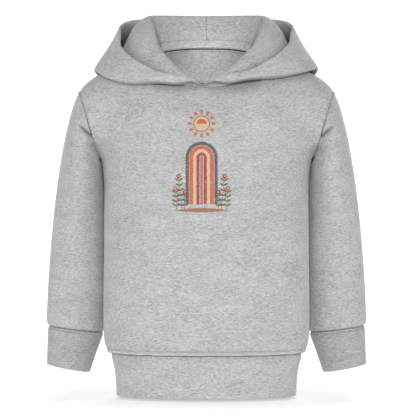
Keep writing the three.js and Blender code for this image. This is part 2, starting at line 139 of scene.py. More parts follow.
# Creases as seen from the front (side -1) or from behind (1): from, to, how far the middle bows,
# half width and depth. A depth above 0 is a ridge. hand says on which sleeve or side it lies.
SLEEVE_CREASES = [
    # hand, side, x0, z0, x1, z1, bow, width, depth
    (-1, -1, -150, -85, -125, -105, 2.0, 2.7, -5.0),
    (-1, -1, -147, -76, -130, -90, 2.0, 5.0, 2.2),
    (-1, -1, -138, -104, -124, -132, -2.0, 5.0, -1.4),
    (1, -1, 149, -86, 125, -104, -2.0, 2.7, -4.7),
    (1, -1, 147, -77, 130, -89, -2.0, 5.0, 2.1),
    (1, -1, 139, -106, 124, -135, 2.0, 5.0, -1.3),
    (-1, -1, -150, -205, -128, -214, 3.0, 7.0, -0.8),
    (1, -1, 152, -216, 128, -226, -3.0, 7.0, -0.9),
    (-1, 1, -148, -88, -127, -110, 3.0, 4.6, -2.4),
    (1, 1, 149, -86, 127, -107, -3.0, 4.4, -2.3),
    (-1, 1, -170, -196, -136, -210, 4.0, 8.0, -1.6),
    (1, 1, 172, -188, 138, -206, -4.0, 8.0, -1.7),
    (-1, 1, -172, -226, -142, -232, 3.0, 7.0, -1.2),
    (1, 1, 173, -222, 144, -230, -3.0, 7.0, -1.1),
    (-1, 0, -186, -286, -150, -294, -3.0, 6.0, -0.8),
    (1, 0, 187, -284, 152, -293, 3.0, 6.0, -0.9),
    (-1, 0, -170, -304, -128, -309, 2.0, 5.0, -0.9),
    (1, 0, 172, -303, 130, -309, -2.0, 5.0, -0.9),
]
BODY_CREASES = [
    # hand (not used), side, x0, z0, x1, z1, bow, width, depth
    (0, -1, -122, -112, -104, -128, 2.0, 6.0, -1.0),
    (0, -1, 122, -112, 103, -129, -2.0, 6.0, -1.0),
    (0, -1, -112, -322, -78, -336, 2.0, 8.0, -0.7),
    (0, -1, 111, -318, 80, -334, -2.0, 8.0, -0.7),
    (0, 1, -121, -108, -92, -134, 3.0, 7.0, -1.7),
    (0, 1, 121, -110, 94, -138, -3.0, 7.0, -1.6),
    (0, 1, -86, -128, -40, -150, 4.0, 9.0, -1.0),
    (0, 1, 88, -134, 46, -154, -4.0, 9.0, -0.9),
    (0, 1, -110, -316, -62, -334, 2.0, 8.0, -0.9),
    (0, 1, 112, -312, 70, -332, -2.0, 8.0, -0.9),
]
LOBE_CREASES = [
    # the same, on the part of the hood that stands round the neck: a depth above 0 is a trough here
    (-1, 1, -63, -18, -52, -7, 0.8, 1.9, 1.3),
    (-1, 1, -70, -8, -60, 4, 1.0, 3.0, 0.7),
    (1, 1, 52, -3, 60, -8, 0.5, 2.0, 1.1),
    (1, 1, 66, 0, 58, 9, 1.0, 3.2, 0.6),
]
ROLL_CREASES = [
    # and on its fold and its outside
    (-1, -1, -60, -31.2, -27, -33.4, 0.8, 1.5, -1.2),
    (-1, -1, -97, -22, -70, -34, 2.0, 4.0, -0.7),
    (1, -1, 98, -18, 74, -27, -2.0, 4.0, -0.7),
    (-1, 0, -118, -10, -92, -28, 3.0, 6.0, -0.8),
    (1, 0, 117, -8, 96, -26, -3.0, 6.0, -0.8),
    (-1, 1, -74, -30, -20, -62, 6.0, 9.0, -1.8),
    (1, 1, 78, -24, 26, -58, -6.0, 9.0, -1.6),
    (-1, 1, -52, 6, -14, -10, 3.0, 8.0, -1.0),
    (1, 1, 50, 2, 16, -12, -3.0, 8.0, -1.1),
]
# How much painted shade darkens the hood's fold and its underside, and where on its path, from 0 to
# 6, each begins and ends
FOLD_SHADE = 0.9
FOLD_RISE = (2.4, 3.8)
FOLD_END = (5.7, 5.97)
UNDERSIDE_SHADE = 0.5
UNDERSIDE_RISE = (3.0, 3.6)
UNDERSIDE_END = (5.2, 5.8)
ROLL_RISE = (2.9, 3.5)
TICK_RISE = (TAPE_TOP, 0.25)
TICK_END = (0.34, 0.42)
SLEEVE_FOLD_LINES = [
    # the painted shade of the fold from each armhole, dark in its line and softer below it, with how
    # much darker it is
    (-1, -1, -149, -84, -124, -105, 1.6, 1.7, 0.62),
    (-1, -1, -139, -99, -122, -116, 0.0, 5.2, 0.26),
    (1, -1, 149, -85, 124, -104, -1.6, 1.7, 0.6),
    (1, -1, 139, -100, 122, -117, 0.0, 5.2, 0.25),
]
FOLD_LINES = [
    # the painted shadow on the line where the front part laps over the back, with how much darker it is
    # instead of a depth
    (-1, 1, -66.5, 47, -49, 3, -2.0, 1.9, 0.42),
    (1, 1, 67, 47, 50, 6, 3.0, 1.9, 0.42),
]

# Camera and stage
CAMERA_DISTANCE = 2400.0
CAMERA_X = 1.8
CAMERA_Z = -179.4
FRAME_WIDTH = 490.9
SENSOR_WIDTH = 36.0
FLOOR_Z = -403.0
# Light table, in metres: its glow, where it brightens behind the front edge and dulls at the sides,
# and the painted shadow that dims its glow where the hem comes near it
LIGHT_TABLE = 0.655
TABLE_FRONT = (-1.0, -0.26)
TABLE_SIDE = (0.7, 2.4)
CONTACT_SHADE = 0.3
CONTACT_FADE = (0.9, 1.9)
CONTACT_HALF_WIDTH = 0.135
CONTACT_HALF_DEPTH = 0.095
CONTACT_Y = 0.02


def smooth(value, low, high):
    t = np.clip((value - low) / (high - low), 0, 1)
    return t * t * (3 - 2 * t)


def span(value, rise, fall):
    """1 between two smooth steps, each given by where it begins and ends."""
    return smooth(value, *rise) * (1 - smooth(value, *fall))


def line_at(distance, place, reach):
    """A soft line at a place: 1 on it, and less with the distance from it."""
    return np.exp(-((distance - place) / reach) ** 2)


def mix(a, b, t):
    return a + (b - a) * t


# Forms

def section_at(rows, value):
    """All columns where the first has the given values, on smooth curves through the rows."""
    key = rows[:, 0]
    step = np.diff(key)[:, None]
    rise = np.diff(rows, axis=0) / step
    slope = np.empty_like(rows)
    slope[0] = rise[0]
    slope[-1] = rise[-1]
    slope[1:-1] = (rise[:-1] * step[1:] + rise[1:] * step[:-1]) / (step[1:] + step[:-1])
    value = np.asarray(value, float)
    i = np.clip(np.searchsorted(key, value) - 1, 0, len(rows) - 2)
    span = (key[i + 1] - key[i])[..., None]
    t = np.clip((value - key[i])[..., None] / span, 0, 1)
    return ((2 * t ** 3 - 3 * t ** 2 + 1) * rows[i] + (t ** 3 - 2 * t ** 2 + t) * slope[i] * span
            + (3 * t ** 2 - 2 * t ** 3) * rows[i + 1] + (t ** 3 - t ** 2) * slope[i + 1] * span)


def round_section(angle):
    power = 2 / BODY_ROUNDNESS
    return np.sin(angle) ** power, np.maximum(np.cos(angle), 0) ** power


def arm_ring(section, degrees):
    """Points of an arm ring: 0 is outside, 90 the front and 180 inside, against the body."""
    out_x, out_y, out_z, in_x, in_y, in_z, front_y, back_y = np.moveaxis(section[..., 1:], -1, 0)
    c = np.cos(np.radians(degrees))
    s = np.sin(np.radians(degrees))
    side_y = (out_y + in_y) / 2
    depth_y = (front_y + back_y) / 2
    x = (out_x + in_x) / 2 + (out_x - in_x) / 2 * c
    y = side_y * c * c + depth_y * s * s + (out_y - in_y) / 2 * c + (front_y - back_y) / 2 * s
    z = (out_z + in_z) / 2 + (out_z - in_z) / 2 * c
    return np.stack([x, y, z], -1)


def neck_point(degrees):
    section = section_at(HOOD, degrees)
    angle = np.radians(degrees)
    return np.stack([section[..., 1] * np.sin(angle), NECK_CENTRE_Y - section[..., 1] * np.cos(angle),
                     section[..., 2]], -1)


def top_edge(side, u):
    """Top edge of a body panel, from the centre of the neck (0) over the neck point to the sleeve (1)."""
    middle = 0.0 if side < 0 else 180.0
    neck = neck_point(np.array(NECK_POINT_ANGLE))
    tip = arm_ring(ARM[0], 0.0)
    along_neck = neck_point(mix(middle, NECK_POINT_ANGLE, np.minimum(u / NECK_SHARE, 1)))
    s = np.clip((u - NECK_SHARE) / (1 - NECK_SHARE), 0, 1)
    fall = SHOULDER_STRAIGHT * s + (1 - SHOULDER_STRAIGHT) * s ** SHOULDER_CURVE
    shoulder = np.stack([mix(neck[0], tip[0], s), mix(neck[1], tip[1], s), mix(neck[2], tip[2], fall)], -1)
    return np.where((u <= NECK_SHARE)[..., None], along_neck, shoulder)


def depth_at(side, z, share):
    section = section_at(TORSO, z)
    return mix(section[..., 4], -section[..., 2] if side < 0 else section[..., 3], share)


def lower_body(side, u, z):
    across, depth = round_section(np.abs(u) * math.pi / 2)
    x = np.sign(u) * section_at(TORSO, z)[..., 1] * across
    return np.stack([x, depth_at(side, z, depth), z + 0 * u], -1)


def upper_body(side, u, rise):
    """Body above the armpit: its sides follow the armhole and its top the shoulder and neck seams."""
    edge = arm_ring(ARM[0], 180 * (1 - rise) if side < 0 else 180 * (1 + rise))
    tip = top_edge(side, np.array(1.0))
    top = top_edge(side, np.abs(u))
    lift = (edge[..., 2] - ARMPIT_Z) / (tip[2] - ARMPIT_Z)
    z = mix(ARMPIT_Z, top[..., 2], lift)

    def fall_off(height, top_z, across):
        shoulder = smooth(across, SHOULDER_BEGINS, SHOULDER_COMPLETE)
        fall = mix(FRONT_FALL if side < 0 else BACK_FALL, FRONT_FALL, shoulder)
        drop = np.clip((top_z - height) / fall, 0, 1)
        return (1 - (1 - drop) ** 2) ** mix(1, 0.5, shoulder)

    edge_fall = np.maximum(fall_off(edge[..., 2], tip[2], 1.0), LEAST_FALL)
    edge_y = np.where(rise < 1, mix(tip[1], edge[..., 1], 1 / edge_fall), tip[1])
    seam_y = depth_at(side, edge[..., 2], 0)
    edge_share = np.clip((edge_y - seam_y) / (depth_at(side, edge[..., 2], 1) - seam_y), 0, 1)
    edge_angle = np.arccos(edge_share ** (BODY_ROUNDNESS / 2))
    cut_off = math.pi / 2 - edge_angle
    reach = np.minimum(EDGE_REACH, 0.9 * math.pi / 2 / np.maximum(cut_off, 0.01))
    angle = np.maximum(np.abs(u) * math.pi / 2 - cut_off * np.abs(u) ** reach, 0)
    across, depth = round_section(angle)
    spread = mix(across / round_section(edge_angle)[0], top[..., 0] / tip[0], smooth(lift, 0, 1))
    y = mix(top[..., 1], depth_at(side, z, depth), fall_off(z, top[..., 2], np.abs(u)))
    return np.stack([np.sign(u) * edge[..., 0] * spread, y, z], -1)


def body_grid(side, columns, levels, upper_rows):
    u = np.linspace(-1, 1, columns + 1)
    lower = [lower_body(side, u, np.full_like(u, z)) for z in levels]
    upper = [upper_body(side, u, np.full_like(u, rise))
             for rise in np.linspace(0, 1, upper_rows + 1)[1:]]
    return np.array(lower + upper)


def arm_grid(hand, start, end, rows, columns):
    degrees = np.arange(columns) * 360 / columns
    grid = np.array([arm_ring(section_at(ARM, np.full(columns, row)), degrees)
                     for row in np.linspace(start, end, rows + 1)])
    grid[..., 0] *= hand
    return grid


def band_grid(levels, columns):
    turn = np.arange(columns) * 4 / columns
    front = turn < 2
    u = np.where(front, 1 - turn, turn - 3)
    rows = []
    for z in levels:
        height = np.full(columns, float(z))
        rows.append(np.where(front[:, None], lower_body(-1, u, height), lower_body(1, u, height)))
    return np.array(rows)


def curve_through(keys, path):
    """Centripetal curve through the keys of each section, at steps counted in keys."""
    ends = np.concatenate([2 * keys[:, :1] - keys[:, 1:2], keys, 2 * keys[:, -1:] - keys[:, -2:-1]], 1)
    i = np.minimum(path.astype(int), keys.shape[1] - 2)
    w = (path - i)[None, :, None]
    p0, p1, p2, p3 = (ends[:, i + k] for k in range(4))
    d0, d1, d2 = (np.sqrt(np.linalg.norm(b - a, axis=-1, keepdims=True))
                  for a, b in ((p0, p1), (p1, p2), (p2, p3)))
    t1 = ((p1 - p0) / d0 - (p2 - p0) / (d0 + d1) + (p2 - p1) / d1) * d1
    t2 = ((p2 - p1) / d1 - (p3 - p1) / (d1 + d2) + (p3 - p2) / d2) * d1
    return p1 + t1 * w + (-3 * p1 + 3 * p2 - 2 * t1 - t2) * w ** 2 + (2 * p1 - 2 * p2 + t1 + t2) * w ** 3


def hood_angle(degrees, hand):
    return hand * degrees + HOOD_FRONT_TURN * np.maximum(np.cos(np.radians(degrees)), 0) ** 2


def hood_grid(hand, angles, path):
    """Middle surface of one half of the hood; the path runs from 0 at the seam to 6 at the rim."""
    section = section_at(HOOD, angles)
    neck = section_at(HOOD, np.abs(hood_angle(angles, hand)))
    keys = section[:, 1:15].reshape(len(angles), 7, 2)
    lift = section[:, 15] * (hand > 0)
    turn_in = section[:, 16] * (hand > 0)
    keys[:, 0, 0] = neck[:, 1] - HOOD_INSET * np.sin(np.radians(angles)) ** 2
    keys[:, 0, 1] = neck[:, 2] + HOOD_RAISE
    keys[:, 3, 1] += lift * WELL_LIFT
    keys[:, 4, 1] += lift
    keys[:, 5, 1] += lift * SIDE_LIFT
    keys[:, 5, 0] -= turn_in * SIDE_IN
    keys[:, 6, 0] -= turn_in
    keys[:, 6, 1] += turn_in * RIM_LIFT
    curve = curve_through(keys, path)
    angle = np.radians(hood_angle(angles, hand))[:, None]
    grid = np.stack([curve[..., 0] * np.sin(angle), NECK_CENTRE_Y - curve[..., 0] * np.cos(angle),
                     curve[..., 1]], -1)
    return np.swapaxes(grid, 0, 1)


def grid_normals(grid, turn, closed=False, halved=False):
    """Normals of a grid; at the sides of a halved piece they lie in its middle plane."""
    across = np.roll(grid, -1, 1) - np.roll(grid, 1, 1) if closed else np.gradient(grid, axis=1)
    normal = np.cross(across, np.gradient(grid, axis=0))
    if halved:
        normal[:, [0, -1], 0] = 0
    length = np.linalg.norm(normal, axis=-1, keepdims=True)
    return normal / np.maximum(length, 1e-12) * turn


def spread_out(field, closed, rounds):
    """Evens out a field of numbers on a grid."""
    for _ in range(rounds):
        padded = np.pad(field, ((1, 1), (0, 0)), mode="edge")
        padded = np.pad(padded, ((0, 0), (1, 1)), mode="wrap" if closed else "edge")
        field = (padded[1:-1, 1:-1] * 2 + padded[:-2, 1:-1] + padded[2:, 1:-1]
                 + padded[1:-1, :-2] + padded[1:-1, 2:]) / 6
    return field


def body_trees():
    """Side and search tree of each body panel."""
    trees = []
    for side in (-1, 1):
        grid = body_grid(side, TREE_COLUMNS, np.linspace(BAND_TOP, ARMPIT_Z, TREE_ROWS_LOWER),
                         TREE_ROWS_UPPER)
        rows, columns = grid.shape[:2]
        faces = [(i * columns + j, i * columns + j + 1, (i + 1) * columns + j + 1, (i + 1) * columns + j)
                 for i in range(rows - 1) for j in range(columns - 1)]
        trees.append((side, BVHTree.FromPolygons([Vector(p) for p in grid.reshape(-1, 3)], faces)))
    return trees


BODY_TREES = body_trees()


def rest_on_body(grid, clearance, ease, closed):
    """Moves points that come too near the body out along its normal, evened out over the cloth."""
    rows, columns = grid.shape[:2]
    push = np.zeros((rows, columns))
    way = np.zeros_like(grid)
    for i in range(rows):
        share = ease(i / (rows - 1))
        for j in range(columns):
            point = Vector(grid[i, j])
            found = [(*tree.find_nearest(point), side) for side, tree in BODY_TREES]
            spot, normal, _, reach, side = min(found, key=lambda hit: hit[3])
            if normal.y * side < -LEAST_LEAN:
                normal = -normal
            outward = Vector((spot.x, spot.y - BODY_MIDDLE_Y, OUTWARD_RISE * abs(spot.x)))
            if normal.dot(outward) < 0:
                normal = -normal
            height = (point - spot).dot(normal)
            aside = math.sqrt(max(reach * reach - height * height, 0))
            if aside < ASIDE_LIMIT and share > 0:
                push[i, j] = max(clearance - height, 0) * share
            way[i, j] = normal
    eased = np.maximum(spread_out(push, closed, EASE_ROUNDS), push * EASE_LEAST)
    return grid + way * eased[..., None]


# Meshes

# Grid lines beside a border, as shares of half the cloth's thickness, which round it off
BORDER_LINES = (0.13, 0.5, 1.0)


def add_object(name, data):
    thing = bpy.data.objects.new(name, data)
    bpy.context.scene.collection.objects.link(thing)
    return thing


def add_border_lines(grid, distances, closed):
    """Adds grid lines close to the borders, at the given distances from them."""
    def along_first(block):
        def lines(edge, inner):
            way = inner - edge
            length = np.maximum(np.linalg.norm(way, axis=-1, keepdims=True), 1e-9)
            return [edge + way * np.minimum(d / length, 0.5 + 0.1 * k)
                    for k, d in enumerate(distances)]
        low = lines(block[0], block[1])
        high = lines(block[-1], block[-2])[::-1]
        return np.concatenate([block[:1], low, block[1:-1], high, block[-1:]])
    grid = along_first(grid)
    if not closed:
        grid = np.swapaxes(along_first(np.swapaxes(grid, 0, 1)), 0, 1)
    return grid


def run_lengths(grid):
    """Arc lengths on a grid: along the rows and across the columns, from the first border of each."""
    along = np.zeros(grid.shape[:2])
    along[1:] = np.cumsum(np.linalg.norm(np.diff(grid, axis=0), axis=-1), 0)
    across = np.zeros(grid.shape[:2])
    across[:, 1:] = np.cumsum(np.linalg.norm(np.diff(grid, axis=1), axis=-1), 1)
    return along, across


def to_sides(across):
    """Distance to the nearer side border."""
    return np.minimum(across, across[:, -1:] - across)


def relief_of(creases, grid, normals, hand):
    """Sum of the creases at each point, measured in the plane of the front view."""
    relief = np.zeros(grid.shape[:2])
    for crease_hand, side, x0, z0, x1, z1, bow, width, depth in creases:
        if crease_hand and crease_hand != hand:
            continue
        start = np.array([x0, z0], float)
        way = np.array([x1 - x0, z1 - z0], float)
        length = np.linalg.norm(way)
        way /= length
        at = grid[..., ::2] - start
        t = at @ way / length
        off = at @ np.array([-way[1], way[0]]) - bow * (1 - (2 * t - 1) ** 2)
        past = np.maximum(np.maximum(-t, t - 1), 0) * length
        strength = np.exp(-(off / width) ** 2 - (past / (0.8 * width)) ** 2)
        strength *= smooth(np.minimum(t, 1 - t) * length, -width, 2 * width)
        if side:
            strength *= smooth(normals[..., 1] * side, 0.0, 0.35)
        relief += depth * strength
    return relief


def wave(count, seed):
    """An uneven wave round a closed edge as a function of the turn, from 0 to 1."""
    rng = np.random.default_rng(seed)
    rounds = rng.integers(int(count * 0.5), int(count * 1.5), 7)
    phases = rng.uniform(0, 2 * math.pi, 7)
    sizes = rng.uniform(0.4, 1.0, 7)
    return lambda turn: sum(s * np.sin(2 * math.pi * n * turn + p)
                            for s, n, p in zip(sizes, rounds, phases)) / sizes.sum()


def rounded(distance, radius):
    """Share of its full height that a rounded border has at a distance from it."""
    return np.sqrt(np.clip(1 - (1 - np.minimum(distance / radius, 1)) ** 2, 0, 1))


def quads_between(index, closed):
    """Faces between the points of a grid, which are given by their numbers."""
    if closed:
        index = np.concatenate([index, index[:, :1]], 1)
    return np.stack([index[:-1, :-1], index[:-1, 1:], index[1:, 1:], index[1:, :-1]], -1).reshape(-1, 4)


def lay_on_cloth(mesh, flat, way_round):
    """Gives each corner its place on the flat cloth, carried on over the seam of a closed piece."""
    loops = np.empty(len(mesh.loops), np.int32)
    mesh.loops.foreach_get("vertex_index", loops)
    uv = flat[loops]
    if way_round:
        corners = uv[:, 0].reshape(-1, 4)
        low = corners.min(1, keepdims=True)
        high = corners.max(1, keepdims=True)
        carried = (high - low > way_round / 2) & (corners < (low + high) / 2)
        uv[:, 0] += way_round * carried.ravel()
    mesh.uv_layers.new(name="cloth").data.foreach_set("uv", uv.astype(np.float32).ravel())


def shell(name, grid, near, far, turn, material, closed=False, halved=False, joined_rim=False,
          relief=None, uv_shift=(0.0, 0.0), shade=None):
    """Closed shell with rounded borders: its face lies near and its back far from the grid."""
    half = abs(near - far) / 2
    grid = add_border_lines(grid, [share * half for share in BORDER_LINES], closed)
    normals = grid_normals(grid, turn, closed, halved)
    along, across = run_lengths(grid)
    rim = along[-1] - along
    own = along if closed else np.minimum(along, to_sides(across))
    if joined_rim:
        roll = rounded(own, half)
        turn_over = rounded(rim, abs(near))
    else:
        roll = rounded(np.minimum(own, rim), half)
        turn_over = 1
    lift = relief(grid, normals, along, across) if relief else 0
    middle = (near + far) / 2
    outer, inner = (grid + normals * ((middle + (place - middle) * roll) * turn_over + lift)[..., None]
                    for place in (near, far))

    border = np.zeros(along.shape, bool)
    border[[0, -1]] = True
    if not closed:
        border[:, [0, -1]] = True
    outer_index = np.arange(border.size).reshape(border.shape)
    inner_index = outer_index.copy()
    inner_index[~border] = border.size + np.arange((~border).sum())

    def on_points(face_values, back_values):
        """Values of all points: those of the face, then those of the back off the borders."""
        return np.concatenate([face_values.reshape(border.size, *face_values.shape[2:]),
                               back_values[~border]])

    faces = np.concatenate([quads_between(outer_index, closed), quads_between(inner_index, closed)[:, ::-1]])
    if turn < 0:
        faces = faces[:, ::-1]
    mesh = bpy.data.meshes.new(name)
    mesh.from_pydata((on_points(outer, inner) * MM).tolist(), [], faces.tolist())
    mesh.validate()

    centre = across[:, -1:] / 2 if closed else across[:, across.shape[1] // 2][:, None]
    flat = np.stack([across - centre, along], -1) * MM + uv_shift
    way_round = (across[0, -1] + np.linalg.norm(grid[0, 0] - grid[0, -1])) * MM if closed else None
    lay_on_cloth(mesh, on_points(flat, flat), way_round)
    lying = smooth(np.abs(normals[..., 2]), 0.6, 0.9)
    # painted light and shade of each point, which the colour of its cloth is multiplied by
    deep = shade(grid, normals, along, across) if shade else np.ones_like(along)
    for field, face_values, back_values in (("outside", np.ones_like(along), np.zeros_like(along)),
                                            ("lying", lying, lying), ("shade", deep, deep)):
        values = on_points(face_values, back_values).astype(np.float32)
        mesh.attributes.new(field, "FLOAT", "POINT").data.foreach_set("value", values)
    mesh.polygons.foreach_set("use_smooth", np.ones(len(mesh.polygons), bool))
    mesh.materials.append(material)
    mesh.update()
    return add_object(name, mesh)


# Materials

class Value:
    """A socket with arithmetic: an expression on values adds its Math nodes."""

    def __init__(self, paint, socket):
        self.paint, self.socket = paint, socket

    def _math(self, operation, *others):
        return self.paint.math(operation, self, *others)

    def __add__(self, other):
        return self._math("ADD", other)

    def __sub__(self, other):
        return self._math("SUBTRACT", other)

    def __rsub__(self, other):
        return self.paint.math("SUBTRACT", other, self)

    def __mul__(self, other):
        return self._math("MULTIPLY", other)

    def __truediv__(self, other):
        return self._math("DIVIDE", other)

    def __pow__(self, other):
        return self._math("POWER", other)

    def __abs__(self):
        return self._math("ABSOLUTE")

    __radd__ = __add__
    __rmul__ = __mul__


class Paint:
    """Node tree of one material."""

    def __init__(self, name):
        self.material = bpy.data.materials.new(name)
        self.material.use_nodes = True
        self.tree = self.material.node_tree
        self.tree.nodes.clear()

    def node(self, kind, settings=None, out=0, **values):
        """A node with its settings and its sockets' values or links; gives its numbered output."""
        node = self.tree.nodes.new(kind)
        for key, setting in (settings or {}).items():
            setattr(node, key, setting)
        for key, value in values.items():
            name = key.replace("_", " ")
            self.feed(node.inputs[int(key[1:]) if key[1:].isdigit() else name], value)
        return Value(self, node.outputs[out]) if len(node.outputs) else None

    def feed(self, socket, value):
        if isinstance(value, Value):
            self.tree.links.new(value.socket, socket)
        else:
            socket.default_value = value

    def math(self, operation, *values):
        inputs = {f"i{k}": value for k, value in enumerate(values)}
        return self.node("ShaderNodeMath", {"operation": operation}, **inputs)

    def step(self, value, low, high):
        """0 below low, 1 above high and smooth between."""
        return self.node("ShaderNodeMapRange", {"interpolation_type": "SMOOTHSTEP"},
                         Value=value, From_Min=low, From_Max=high)

    def noise(self, vector, scale, detail=2.0, roughness=0.5):
        return self.node("ShaderNodeTexNoise", Vector=vector, Scale=scale, Detail=detail,
                         Roughness=roughness)

    def blend(self, share, first, second, kind="MIX"):
        return self.node("ShaderNodeMix", {"data_type": "RGBA", "blend_type": kind, "clamp_factor": True},
                         out=2, i0=share, i6=first, i7=second)

    def vector(self, x, y, z):
        return self.node("ShaderNodeCombineXYZ", X=x, Y=y, Z=z)

    def parts(self, vector):
        node = self.node("ShaderNodeSeparateXYZ", Vector=vector).socket.node
        return [Value(self, socket) for socket in node.outputs]

    def place(self):
        """Place in the piece's own frame, in metres."""
        return self.node("ShaderNodeTexCoord", out=3)

    def field(self, name):
        """Numbers that the mesh carries for its points."""
        return self.node("ShaderNodeAttribute", {"attribute_name": name}, out=2)

    def complete(self, bump=None, **surface):
        """Closes the material with its shader; a bump gives its strength, depth and height."""
        if bump:
            strength, depth, height = bump
            surface["Normal"] = self.node("ShaderNodeBump", Strength=strength, Distance=depth, Height=height)
        shader = self.node("ShaderNodeBsdfPrincipled", **surface)
        self.node("ShaderNodeOutputMaterial", Surface=shader)
        return self.material


def linear(red, green, blue):
    """Linear colour from display values of 0 to 255."""
    def one(value):
        value /= 255
        return value / 12.92 if value <= 0.04045 else ((value + 0.055) / 1.055) ** 2.4
    return (one(red), one(green), one(blue), 1.0)


# Mottled knit: streaks along the courses, a few millimetres long and under one high, in two sizes,
# with a faint cloud over them. Streaks, cloud and fuzz are counted on the metre; the knit's wales and
# courses and the tape's twill are given by their width in metres.
CLOTH_GREY = 0.375
STREAK_ROUND = 250.0
STREAK_HIGH = 860.0
STREAKS = [
    # count round and upwards, detail and strength of each size
    (STREAK_ROUND, STREAK_HIGH, 3.0, 1.0),
    (2.6 * STREAK_ROUND, 2.1 * STREAK_HIGH, 2.0, 0.8),
]
STREAK_ROUGHNESS = 0.65
CLOUD_ROUND = 26
CLOUD_HIGH = 60
CLOUD_STRENGTH = 0.22
MOTTLE_CONTRAST = 1.5
WALE_WIDTH = 0.0011
COURSE_HEIGHT = 0.00085
TWILL_WIDTH = 0.0012
FUZZ = 900.0
CUFF_TONE = 0.87
LINING_TONE = 1.03
TAPE_TONE = 1.03


def mottle_of(paint, across, along):
    """Uneven mix of pale and dark fibres, about 0, where the cloth stands and where it lies flat."""
    x, y, z = paint.parts(paint.place())
    lying = paint.field("lying")
    mottle = 0.0
    for long, high, detail, strength in STREAKS:
        standing = paint.noise(paint.vector(x * long, y * long, z * high), 1.0, detail, STREAK_ROUGHNESS)
        flat = paint.noise(paint.vector(across * long, along * high, 3.1), 1.0, detail, STREAK_ROUGHNESS)
        mottle = mottle + (standing + (flat - standing) * lying - 0.5) * strength
    cloud = paint.noise(paint.vector(x * CLOUD_ROUND, y * CLOUD_ROUND, z * CLOUD_HIGH), 1.0)
    return mottle + (cloud - 0.5) * CLOUD_STRENGTH


def knit_colour(paint, tone):
    """Colour of the mottled knit, with its mottle and the place on the cloth, across and along."""
    across, along, _ = paint.parts(paint.node("ShaderNodeUVMap", {"uv_map": "cloth"}))
    mottle = mottle_of(paint, across, along)
    # painted light and shade: the colour is multiplied by the shade field, painted darker in seams, stitch
    # rows, folds and the hood's hollows and lighter on the strip over the waistband's seam
    grey = (mottle * MOTTLE_CONTRAST + 1) * paint.field("shade") * (CLOTH_GREY * tone)
    return paint.vector(grey, grey, grey), mottle, across, along


def cloth_material(name, tone=1.0, design=False):
    paint = Paint(name)
    colour, mottle, across, along = knit_colour(paint, tone)
    wales = paint.math("SINE", across * (2 * math.pi / WALE_WIDTH))
    courses = paint.math("SINE", along * (2 * math.pi / COURSE_HEIGHT) + wales * 1.2)
    fuzz = paint.noise(paint.vector(across * FUZZ, along * FUZZ, 5.0), 1.0, 3.0, 0.7) - 0.5
    height = mottle * 0.35 + courses * 0.12 + wales * 0.10 + fuzz * 0.6
    roughness = 0.9 + fuzz * 0.12
    if design:
        colour, cover = printed_design(paint, colour, mottle)
        roughness = roughness - cover * 0.12
        height = height * (1 - cover * 0.35)
    return paint.complete((0.3, 0.0006, height), Base_Color=colour, Roughness=roughness, Sheen_Weight=0.25,
                          Sheen_Roughness=0.5, Specular_IOR_Level=0.2)


# Printed design: a sun over an arch of coloured rings, with leaf sprigs at each side and a ground
# line. Its sizes are in millimetres from its own centre.
DESIGN_X = -5.5
DESIGN_Z = -130.0
INK_ORANGE = linear(176, 88, 44)
INK_CHARCOAL = linear(82, 72, 76)
INK_RED = linear(160, 34, 40)
INK_CREAM = linear(198, 166, 134)
INK_OLIVE = linear(84, 88, 62)
INK_BROWN = linear(142, 96, 58)
SUN_Z = 47.0
SUN_DISCS = [(9.6, INK_BROWN), (8.4, INK_CREAM)]
SUN_HALF_DISC = 5.6
RAY_MIDDLE = 13.6
RAY_HALF = 2.2
RAY_COUNT = 12.0
ARCH_Z = 8.0
ARCH_FOOT_Z = -45.0
ARCH_RINGS = [
    # inner and outer radius of each ring, and its ink
    (14.6, 18.4, INK_CHARCOAL), (9.6, 14.0, INK_ORANGE), (6.4, 9.2, INK_CREAM), (2.4, 6.0, INK_RED),
    (0.0, 1.4, INK_BROWN),
]
SPRIGS = [
    # foot, height, lean and number of leaf pairs of each sprig, and the ink of its flower
    (22.5, 38.0, 0.10, 6, INK_RED), (28.5, 24.0, 0.06, 4, INK_ORANGE), (19.5, 20.0, -0.02, 3, INK_RED),
]
STEM_HALF = 0.35
LEAF_ASIDE = 2.2
LEAF_UP = 1.3
LEAF_COSINE = 0.84
LEAF_SINE = 0.54
LEAF_SLIMNESS = 2.3
LEAF_LENGTH = 2.5
BLOOM_RADIUS = 2.6
BLOOM_HEART = 0.9
GROUND_Z = -52.0
GROUND_HALF = 2.4
GROUND_TAPER = 0.0024
GROUND_REACH = 32.0
INK_EDGE = 0.35
INK_STRENGTH = 0.93


